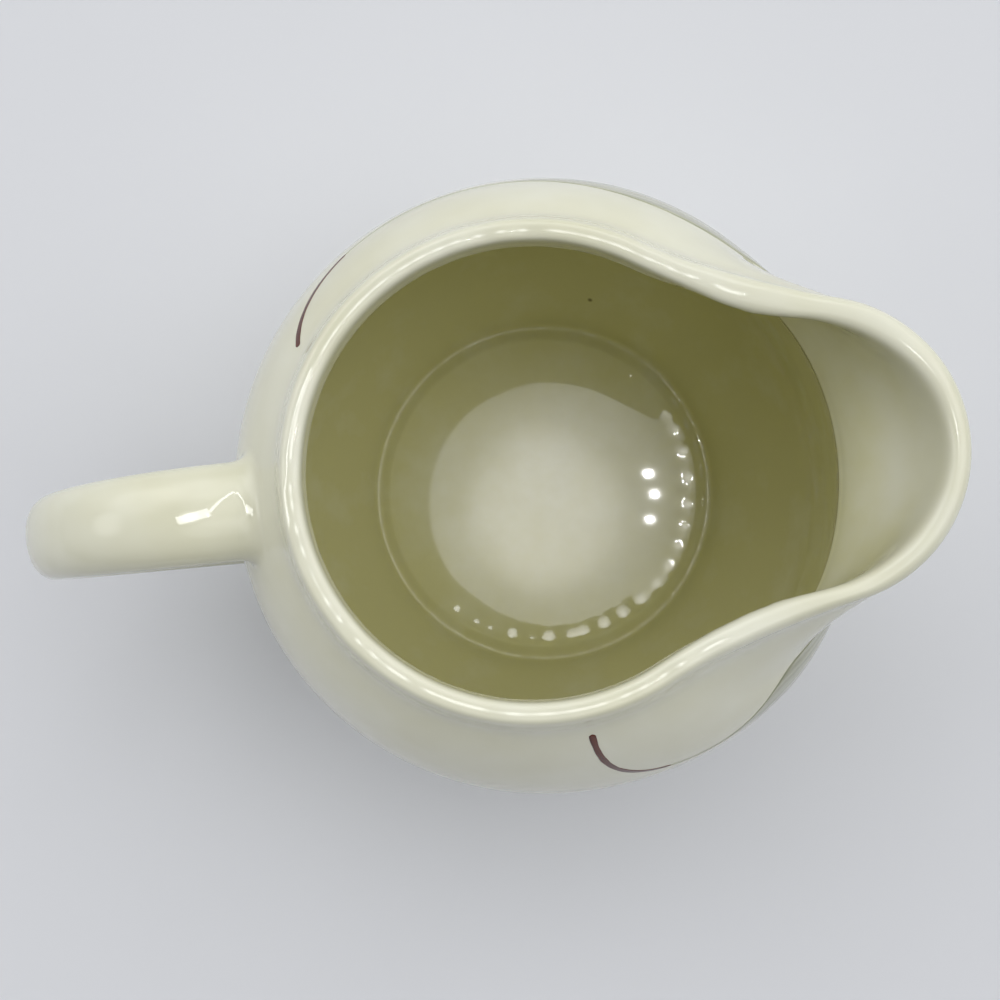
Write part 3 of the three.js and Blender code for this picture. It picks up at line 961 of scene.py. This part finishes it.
    def pool_and_shade(self, angle: Array, height: Array, radius: Array) -> Array:
        """How much olive the inside gets, as pooled glaze and painted shade.

        Args:
            angle: Angles round the pot.
            height: Heights over the table.
            radius: Distances from the axis.

        Returns:
            Most on the wall, less on the lip and floor, least at the lip's painted highlight; 0 to 1.
        """
        first, last = (self.form.throat_height + step for step in self.throat_fade)
        # Lighter lip, with a painted highlight in the middle of its hollow.
        lip = self.lip_pool_and_shade - self.lip_painted_highlight * self.form.in_hollow(angle, height)
        wall = 1.0 - (1.0 - lip) * smooth_step(first, last, height)
        first, last = self.dish_radius + self.floor_fade[0], self.moat_radius + self.floor_fade[1]
        floor = self.floor_pool_and_shade + (1.0 - self.floor_pool_and_shade) * smooth_step(first, last, radius)
        return np.where(height < self.cove_top, floor, wall)

    def build(self, finish: Material) -> None:
        """Build the skin and settle it on the pot.

        Args:
            finish: Glaze of the whole pot.
        """
        form = self.form
        angles = (circle(self.turns) + math.pi) % (2 * math.pi) - math.pi
        ones = np.ones_like(angles)
        under, floor = self.underside(), self.floor()
        foot = form.inside(angles, self.cove_top * ones) - floor[0, 0]
        bend = smooth_step(form.floor_height, self.cove_top, floor[1:, 1:])
        floor = floor[1:]
        up = self.wall_rows(under[-1, 1], form.neck_height - self.neck_blend)[1:, None] * ones
        rim = self.rim(angles)
        throat = form.throat_height + (self.edge_reach + 1.0) * form.throat_round
        share = shares(self.lip_rows)[1:, None]
        lip = rim[-1, :, 1] + (throat - rim[-1, :, 1]) * share
        down = self.wall_rows(self.cove_top, throat)[-2::-1, None] * ones
        inner = np.vstack([lip, down])
        skin = [form.radius(angles, up), rim[..., 0], form.inside(angles, inner)]
        radius = np.vstack([under[:, :1] * ones, *skin, floor[:, :1] + bend * foot])
        height = np.vstack([under[:, 1:] * ones, up, rim[..., 1], inner, self.rings(floor, angles)])
        rows = len(height)
        points = polar(radius, angles, height).reshape(-1, 3)
        ends = [[0.0, 0.0, height[0, 0]], [0.0, 0.0, height[-1].mean()]]
        vertices = np.vstack([points, ends]) + self.axis
        faces = grid_faces(rows, self.turns, True, False)
        low, high = len(vertices) - 2, len(vertices) - 1
        last = (rows - 1) * self.turns
        for j in range(self.turns):
            right = (j + 1) % self.turns
            faces.append((low, right, j))
            faces.append((high, last + j, last + right))
        piece = make_piece("glazed_vessel", vertices, faces, finish)
        # Olive painted shade with pooled glaze inside, carried over the rim's inner roll and stored
        # on the points.
        inside = len(inner) + len(floor)
        pool_and_shade = np.zeros_like(height)
        pool_and_shade[-inside:] = self.pool_and_shade(angles, height[-inside:], radius[-inside:])
        roll = 2 * self.rim_steps - 1
        edge = smooth_step(*self.roll_pool_and_shade, shares(roll))[:, None]
        pool_and_shade[-inside - roll : -inside] = pool_and_shade[-inside] * edge
        depth = np.append(pool_and_shade.reshape(-1), [0.0, self.floor_pool_and_shade])
        store = piece.data.attributes.new("pool_and_shade", "FLOAT", "POINT")
        store.data.foreach_set("value", depth.astype(np.float32))
        settle(piece, "cream_glaze", "body_wall", "pouring_lip", "lip_slip_seam")


class Root(Enum):
    """Ends of the handle on the pot."""

    UPPER = "upper"
    LOWER = "lower"


@dataclass
class LoopHandle:
    """Oval strap bent into a loop, with slip smoothed around both roots."""

    form: PotForm
    axis: Array
    reach: float = 75.45
    twist: float = 0.05
    width: float = 13.2
    grip_width: float = 12.0
    thickness: float = 8.6
    top_drop: float = 14.5
    low_height: float = 23.0
    middle_height: float = 50.0
    rise: float = 0.42
    dip: float = 0.12
    upper_pull: float = 22.0
    lower_pull: float = 18.0
    bend: float = 17.0
    squareness: float = 2.3
    sink: float = 1.2
    collar_length: float = 2.6
    collar_spread: float = 1.8
    collar_tuck: float = 1.0
    tuck_depth: float = 0.03
    rings: int = 120
    sides: int = 64
    collar_steps: int = 12
    path_steps: int = 300
    run_on: float = 4.0
    search_share: float = 0.25
    search_steps: int = 40

    @cached_property
    def path(self) -> Array:
        """Middle line from inside the shoulder round to inside the lower belly.

        Returns:
            Points from the pot's axis, with the ends run on straight.
        """
        form = self.form
        top_height = form.height - self.top_drop
        top = np.array([form.wall - float(form.turned_radius(top_height)), 0.0, top_height])
        low_radius = float(form.turned_radius(self.low_height))
        low = np.array([form.wall - low_radius, 0.0, self.low_height])
        middle = np.array([self.thickness / 2 - self.reach, 0.0, self.middle_height])
        share = shares(self.path_steps)
        bend = np.array([0.0, 0.0, self.bend])
        leave = self.upper_pull * np.array([-1.0, 0.0, self.rise])
        arrive = self.lower_pull * np.array([1.0, 0.0, self.dip])
        upper = bezier([top, top + leave, middle + bend, middle], share)
        lower = bezier([middle, middle - bend, low - arrive, low], share)
        line = np.vstack([upper, lower[1:]])
        before, after = line[0] - line[1], line[-1] - line[-2]
        before *= self.run_on / np.linalg.norm(before)
        after *= self.run_on / np.linalg.norm(after)
        return np.vstack([line[0] + before, line, line[-1] + after])

    @cached_property
    def along(self) -> Array:
        """Length of the middle line up to each of its points."""
        return lengths(self.path)

    def surface(self, length: Array, side: Array, grow: float = 0.0) -> Array:
        """Points on the strap, turned round the pot by its twist.

        Args:
            length: Distance along the middle line.
            side: Angle round the oval section.
            grow: How far outside the strap.

        Returns:
            One point per length and side, from the pot's axis.
        """
        slopes = np.gradient(self.path, self.along, axis=0)
        centre, tangent = (
            coords(*(np.interp(length, self.along, column) for column in table.T))
            for table in (self.path, slopes)
        )
        tangent /= np.linalg.norm(tangent, axis=-1, keepdims=True)
        normal = coords(-tangent[..., 2], 0.0, tangent[..., 0])
        power = 2.0 / self.squareness
        across, out = (np.sign(x) * np.abs(x) ** power for x in (np.cos(side), np.sin(side)))
        root = float(self.form.turned_radius(self.form.height - self.top_drop))
        grip = smooth_step(root, self.reach, -centre[..., 0])
        half = 0.5 * (self.width + (self.grip_width - self.width) * grip) + grow
        point = centre + normal * (out * (self.thickness / 2 + grow))[..., None]
        point[..., 1] += across * half
        cos, sin = math.cos(self.twist), math.sin(self.twist)
        x, y, z = np.moveaxis(point, -1, 0)
        return coords(x * cos - y * sin, x * sin + y * cos, z)

    def outside(self, point: Array) -> Array:
        """How far points are outside the pot, level with them."""
        angle = np.arctan2(point[..., 1], point[..., 0])
        return np.hypot(point[..., 0], point[..., 1]) - self.form.radius(angle, point[..., 2])

    def on_wall(self, point: Array, distance: float) -> Array:
        """Points moved level onto the wall, a distance out from it."""
        angle = np.arctan2(point[..., 1], point[..., 0])
        return self.form.over_wall(angle, point[..., 2], distance)

    def meeting(self, side: Array, root: Root, depth: float) -> Array:
        """Length at which each side of the strap passes a depth in the wall.

        Args:
            side: Angles round the section.
            root: Which end of the handle.
            depth: Depth under the wall's outside.

        Returns:
            Length along the middle line for each side.
        """
        total = self.along[-1]
        first, last = 0.0, self.search_share
        if root is Root.LOWER:
            first, last = 1.0, 1.0 - self.search_share
        inner, outer = np.full_like(side, first * total), np.full_like(side, last * total)
        for _ in range(self.search_steps):
            middle = 0.5 * (inner + outer)
            clear = self.outside(self.surface(middle, side)) > -depth
            outer = np.where(clear, middle, outer)
            inner = np.where(clear, inner, middle)
        return 0.5 * (inner + outer)

    def build_strap(self, finish: Material) -> None:
        """Build the strap between its two roots.

        Args:
            finish: Glaze of the strap.
        """
        side = circle(self.sides)
        start = self.meeting(side, Root.UPPER, self.sink)
        stop = self.meeting(side, Root.LOWER, self.sink)
        share = shares(self.rings)[:, None]
        length = start + (stop - start) * share
        points = self.surface(length, np.broadcast_to(side, length.shape))
        vertices = points.reshape(-1, 3) + self.axis
        faces = grid_faces(self.rings, self.sides, True, False)
        faces.append(tuple(range(self.sides)))
        last = (self.rings - 1) * self.sides
        faces.append(tuple(reversed(range(last, last + self.sides))))
        piece = make_piece("strap_handle", vertices, faces, finish)
        settle(piece, "cream_glaze", "handle")

    def build_collar(self, root: Root, finish: Material) -> None:
        """Build the smoothed slip around one root, hollow towards the corner.

        Args:
            root: Which end of the handle.
            finish: Glaze of the slip.
        """
        side = circle(self.sides)
        meet = self.meeting(side, root, 0.0)
        outward = 1.0 if root is Root.UPPER else -1.0
        corner = self.surface(meet, side)
        on_strap = self.surface(meet + outward * self.collar_length, side)
        beyond = meet + outward * (self.collar_length + self.collar_tuck)
        off_strap = self.surface(beyond, side, -self.tuck_depth)
        away = corner - corner.mean(axis=0)
        away /= np.linalg.norm(away, axis=1, keepdims=True)
        on_wall = self.on_wall(corner + away * self.collar_spread, 0.0)
        past = corner + away * (self.collar_spread + self.collar_tuck)
        off_wall = self.on_wall(past, -self.tuck_depth)
        hidden = self.surface(self.meeting(side, root, self.sink), side, -self.sink)
        share = shares(self.collar_steps)[:, None, None]
        skin = on_strap * (1 - share) ** 2 + corner * 2 * share * (1 - share) + on_wall * share**2
        loops = np.concatenate([off_strap[None], skin, off_wall[None], hidden[None]])
        vertices = loops.reshape(-1, 3) + self.axis
        faces = grid_faces(len(loops), self.sides, True, True)
        piece = make_piece(f"{root.value}_handle_slip", vertices, faces, finish)
        settle(piece, "cream_glaze", f"{root.value}_handle_collar")


@dataclass
class FootRing:
    """Dry ring that the pot stands on."""

    axis: Array
    outer: float = 30.0
    inner: float = 25.0
    height: float = 3.0
    worn: float = 0.9
    turns: int = 240
    round_steps: int = 7
    side_steps: int = 4
    flat_steps: int = 6

    def build(self, finish: Material) -> None:
        """Build the ring and settle it under the pot.

        Args:
            finish: Bare clay.
        """
        worn = self.worn
        turn = np.linspace(0.0, math.pi / 2, self.round_steps)
        cos, sin = worn * np.cos(turn), worn * np.sin(turn)
        right = coords(self.outer - worn + sin, worn - cos)
        left = coords(self.inner + worn - cos, worn - sin)
        rise = np.linspace(worn, self.height, self.side_steps)[1:]
        outside, inside = coords(self.outer, rise), coords(self.inner, rise[::-1])
        across = np.linspace(self.inner + worn, self.outer - worn, self.flat_steps)[1:-1]
        section = np.vstack([left, coords(across, 0.0), right, outside, inside])
        points = polar(section[:, :1], circle(self.turns), section[:, 1:])
        faces = grid_faces(len(section), self.turns, True, True)
        piece = make_piece("dry_foot_ring", points.reshape(-1, 3) + self.axis, faces, finish)
        settle(piece, "bare_clay", "foot_ring")


class Stroke(Enum):
    """Painted strokes, as parts of one stripe round the front of the shoulder."""

    BAND = "painted_band"
    LEFT = "brush_line_left"
    RIGHT = "brush_line_right"


@dataclass(frozen=True)
class Curl:
    """Thin line that leaves one end of the band level and turns up the shoulder."""

    band_angle: float
    band_height: float
    end_angle: float
    end_height: float
    bow: float
    hook: float
    start: float

    def place(self, run: Array) -> tuple[Array, Array]:
        """Places along the curl.

        Args:
            run: Shares of the curl, from 0 at the band to 1 at the end.

        Returns:
            Angles and heights.
        """
        sweep = np.sin(0.5 * math.pi * run)
        rise = 1.0 - np.clip(1.0 - sweep**self.bow, 0.0, 1.0) ** self.hook
        angle = self.band_angle + (self.end_angle - self.band_angle) * sweep
        return angle, self.band_height + (self.end_height - self.band_height) * rise


@dataclass
class PaintedStripe:
    """Stripe that hangs under the lip as a band and curls up both sides in two thin lines."""

    form: PotForm
    axis: Array
    left: Curl = Curl(1.65, 70.5, 2.573, 80.0, 3.1, 1.0, 0.41)
    right: Curl = Curl(-1.02, 63.6, -1.414, 80.6, 2.0, 0.5, 0.3)
    layer: float = 0.05
    band_width: float = 15.0
    band_sag: float = 13.0
    sag_angle: float = 0.25
    sag_power: float = 4.6
    left_run: float = 0.3
    right_run: float = 0.16
    line_width: float = 0.9
    tail_width: float = 0.5
    wobble: float = 0.06
    hand_waves: tuple[tuple[float, float, float], ...] = ((1.0, 0.9, 1.3), (0.6, 2.3, 0.0))
    blunt_end: float = 0.02
    across_steps: int = 12
    tail_steps: int = 40
    band_steps: int = 260
    line_steps: int = 120

    def line(self, stroke: Stroke) -> tuple[Array, Array, Array]:
        """Middle line of a stroke.

        Args:
            stroke: Which stroke.

        Returns:
            Angles, heights and widths along the stroke.
        """
        left, right = self.left, self.right
        if stroke is Stroke.BAND:
            tail = shares(self.tail_steps)
            share = shares(self.band_steps)[1:-1]
            angle = left.band_angle + (right.band_angle - left.band_angle) * share
            height = left.band_height + (right.band_height - left.band_height) * share
            hang = np.maximum(np.cos(angle - self.sag_angle), 0.0)
            height -= self.band_sag * hang**self.sag_power
            full = smooth_step(0.0, self.left_run, share)
            full *= smooth_step(0.0, self.right_run, 1.0 - share)
            width = self.tail_width + (self.band_width - self.tail_width) * full
            first, last = left.place(left.start * tail[::-1]), right.place(right.start * tail)
            thin = np.full(len(tail), self.tail_width)
            parts = zip((*first, thin), (angle, height, width), (*last, thin))
            return tuple(np.concatenate(part) for part in parts)
        curl = left if stroke is Stroke.LEFT else right
        share = shares(self.line_steps)
        angle, height = curl.place(curl.start + (1.0 - curl.start) * share)
        return angle, height, self.tail_width + (self.line_width - self.tail_width) * np.sqrt(share)

    def build(self, stroke: Stroke, slot: str, finish: Material) -> None:
        """Build one stroke as a thin layer that hugs the wall.

        Args:
            stroke: Which stroke.
            slot: Material slot of the record.
            finish: Paint of the stroke.
        """
        angle, height, width = self.line(stroke)
        middle = self.form.over_wall(angle, height, 0.0)
        along = np.gradient(middle, axis=0)
        length = lengths(middle)
        near = np.minimum(length, length[-1] - length)
        cut = 1.0 - np.clip(near / (0.5 * width), 0.0, 1.0)
        round_end = np.sqrt(np.clip(1.0 - cut**2, self.blunt_end, 1.0))
        out = self.form.over_wall(angle, height, 1.0) - middle
        across = np.cross(out, along)
        across /= np.linalg.norm(across, axis=1, keepdims=True)
        sway = sum(size * np.sin(length * rate + phase) for size, rate, phase in self.hand_waves)
        hand = self.wobble * np.minimum(width, 1.0) * sway
        half = 0.5 * round_end * (width + hand)
        share = np.linspace(-1.0, 1.0, self.across_steps + 1)
        spot = middle[:, None, :] + across[:, None, :] * (half[:, None] * share)[..., None]
        spot_angle = np.arctan2(spot[..., 1], spot[..., 0])
        spot_height = spot[..., 2]
        top = self.form.over_wall(spot_angle, spot_height, self.layer)
        under = self.form.over_wall(spot_angle, spot_height, -self.layer)
        count, columns = len(angle), len(share)
        vertices = np.concatenate([top.reshape(-1, 3), under.reshape(-1, 3)]) + self.axis
        sheet = grid_faces(count, columns, False, False)
        below = count * columns
        faces = sheet + [tuple(below + k for k in reversed(face)) for face in sheet]
        edge = [i * columns for i in range(count)]
        edge += [(count - 1) * columns + j for j in range(1, columns)]
        edge += [i * columns + columns - 1 for i in reversed(range(count - 1))]
        edge += list(reversed(range(1, columns - 1)))
        for a, b in zip(edge, edge[1:] + edge[:1]):
            faces.append((a, b, below + b, below + a))
        piece = make_piece(f"{stroke.value}_paint", vertices, faces, finish)
        place = coords(length[:, None], half[:, None] * share).reshape(-1, 2)
        place = np.concatenate([place, place])
        layer = piece.data.uv_layers.new(name="stroke")
        for loop in piece.data.loops:
            layer.data[loop.index].uv = place[loop.vertex_index].tolist()
        settle(piece, slot, stroke.value)


class LampShape(Enum):
    """Outlines of a lamp's glowing face."""

    ROUND = "ELLIPSE"
    OBLONG = "RECTANGLE"


@dataclass(frozen=True)
class Lamp:
    """Small lamp that looks straight down and is only mirrored, in metres from the pot's axis."""

    name: str
    place: tuple[float, float, float]
    size: tuple[float, float]
    energy: float
    shape: LampShape = LampShape.ROUND
    turn: float = 0.0


@dataclass(frozen=True)
class Glow:
    """Soft bright part of the room, as a direction and a size in degrees and a level."""

    name: str
    turn: float
    rise: float
    reach: float
    level: float

    @property
    def way(self) -> Vector:
        """Direction from the table to the middle of the glow."""
        turn, rise = math.radians(self.turn), math.radians(self.rise)
        return Vector(polar(math.cos(rise), turn, math.sin(rise)))


@dataclass
class Studio:
    """Pale table, soft light from above and the camera over the mouth."""

    axis: Array
    card: PaleCard = PaleCard()
    floor_radius: float = 4.0
    floor_sides: int = 96
    camera_place: tuple[float, float, float] = (0.004387, -0.008749, 0.258856)
    camera_turn: tuple[float, float, float] = (1.60858, 2.89341, -3.96331)
    lens: float = 50.4
    sensor_width: float = 36.0
    clip_start: float = 0.01
    sky_colour: str = "#FFFFFF"
    backdrop_level: float = 0.66
    sky_level: float = 0.15
    glows: tuple[Glow, ...] = (
        Glow("ceiling_lamp", 133.0, 88.6, 4.0, 3.3),
        Glow("lamp_halo", 133.0, 88.6, 7.0, 3.8),
        Glow("ceiling_front", 0.0, 72.0, 18.0, 1.1),
        Glow("ceiling_far", 60.0, 72.0, 18.0, 0.8),
        Glow("ceiling_near", 300.0, 72.0, 18.0, 1.2),
        Glow("upper_window", 0.0, 50.0, 28.0, 1.5),
        Glow("corner_window", 45.0, 50.0, 28.0, 1.1),
        Glow("far_window", 90.0, 50.0, 28.0, 1.5),
        Glow("far_corner", 135.0, 50.0, 28.0, 1.45),
        Glow("front_wall", 0.0, 22.0, 30.0, 0.37),
        Glow("right_wall", 45.0, 22.0, 30.0, 0.8),
        Glow("left_wall", 135.0, 22.0, 30.0, 0.54),
        Glow("back_wall", 180.0, 22.0, 30.0, 0.3),
        Glow("back_window", 178.0, 40.0, 14.0, 1.6),
    )
    lamps: tuple[Lamp, ...] = (
        Lamp("first_spot", (0.069, 0.041, 0.9), (0.003, 0.003), 0.018),
        Lamp("second_spot", (0.071, 0.025, 0.9), (0.003, 0.003), 0.018),
        Lamp("third_spot", (0.066, 0.006, 0.9), (0.003, 0.003), 0.018),
        Lamp(
            name="handle_strip",
            place=(-0.0435, -0.0018, 0.11),
            size=(0.013, 0.005),
            energy=0.0016,
            shape=LampShape.OBLONG,
            turn=17.4,
        ),
        Lamp(
            name="handle_line",
            place=(-0.0325, 0.0087, 0.11),
            size=(0.0198, 0.0015),
            energy=0.00075,
            shape=LampShape.OBLONG,
            turn=60.6,
        ),
    )

    def lay_floor(self) -> None:
        """Lay a wide round sheet of pale card under the pot."""
        work = bmesh.new()
        bmesh.ops.create_circle(
            work, cap_ends=True, radius=self.floor_radius, segments=self.floor_sides
        )
        mesh = bpy.data.meshes.new("card_table")
        work.to_mesh(mesh)
        work.free()
        mesh.materials.append(self.card.make())
        show("card_table", mesh)

    def fill_sky(self) -> None:
        """Surround the table with a dim room, brightest overhead and at the lip and far side."""
        world = bpy.data.worlds.new("room")
        world.use_nodes = True
        tree = world.node_tree
        way = add_node(tree, "TexCoord", "Generated")
        level = self.sky_level
        for glow in self.glows:
            ways = {0: way, 1: glow.way}
            facing = add_node(
                tree, "VectorMath", "Value", ways, operation="DOT_PRODUCT", label=glow.name
            )
            edge = {"From Min": math.cos(math.radians(glow.reach)), "From Max": 1.0}
            lit = {"Value": facing, **edge, "To Min": 0.0, "To Max": glow.level}
            shine = add_node(tree, "MapRange", "Result", lit, interpolation_type="SMOOTHSTEP")
            level = add_node(tree, "Math", "Value", {0: level, 1: shine}, operation="ADD")
        seen = add_node(tree, "LightPath", "Is Camera Ray")
        view = {"Factor": seen, "A": level, "B": self.backdrop_level}
        shown = add_node(tree, "Mix", "Result", view, data_type="FLOAT")
        sky = {"Strength": shown, "Color": linear(self.sky_colour)}
        feed(tree, tree.nodes["Background"], sky)
        bpy.context.scene.world = world

    def hang(self, lamp: Lamp) -> None:
        """Hang one small lamp over the pot, seen only in glossy surfaces.

        Args:
            lamp: What to hang.
        """
        light = bpy.data.lights.new(lamp.name, "AREA")
        light.shape = lamp.shape.value
        light.size, light.size_y = lamp.size
        light.energy = lamp.energy
        body = show(lamp.name, light)
        body.location = Vector(self.axis * MM) + Vector(lamp.place)
        body.rotation_euler = (0.0, 0.0, math.radians(lamp.turn))
        body.visible_camera = False
        body.visible_diffuse = False

    def aim(self) -> None:
        """Set the camera over the mouth, a little turned and leaning."""
        data = bpy.data.cameras.new("camera")
        data.lens = self.lens
        data.sensor_width = self.sensor_width
        data.clip_start = self.clip_start
        camera = show("camera", data)
        camera.location = Vector(self.camera_place) + Vector(self.axis * MM)
        camera.rotation_euler = [math.radians(a) for a in self.camera_turn]
        bpy.context.scene.camera = camera

    def build(self) -> None:
        """Lay the floor, fill the room with light and set the camera."""
        self.lay_floor()
        self.fill_sky()
        for lamp in self.lamps:
            self.hang(lamp)
        self.aim()
        bpy.context.scene.view_settings.view_transform = "Standard"


def main() -> None:
    """Build each piece in order and report it."""
    logging.basicConfig(level=logging.INFO)
    low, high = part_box("foot_ring")
    axis = np.array([(low.x + high.x) / 2 / MM, (low.y + high.y) / 2 / MM, 0.0])
    form = PotForm()
    glaze = FiredGlaze(specks=(tuple(axis + np.array(SPECK)),)).make()
    clay = BareClay().make()
    brown = BrushedOxide("brushed_iron_oxide", full="#4A190B", washed="#66301C").make()
    green = BrushedOxide(
        "brushed_grey_green_wash",
        full="#A3A68F",
        washed="#BFBFA9",
        streak_width=1.1,
        streak_length=30.0,
    ).make()
    Vessel(form, axis).build(glaze)
    handle = LoopHandle(form, axis)
    handle.build_strap(glaze)
    for root in Root:
        handle.build_collar(root, glaze)
    FootRing(axis).build(clay)
    stripe = PaintedStripe(form, axis)
    stripe.build(Stroke.BAND, "grey_green_paint", green)
    stripe.build(Stroke.LEFT, "brown_paint", brown)
    stripe.build(Stroke.RIGHT, "brown_paint", brown)
    Studio(axis).build()


if __name__ == "__main__":
    main()
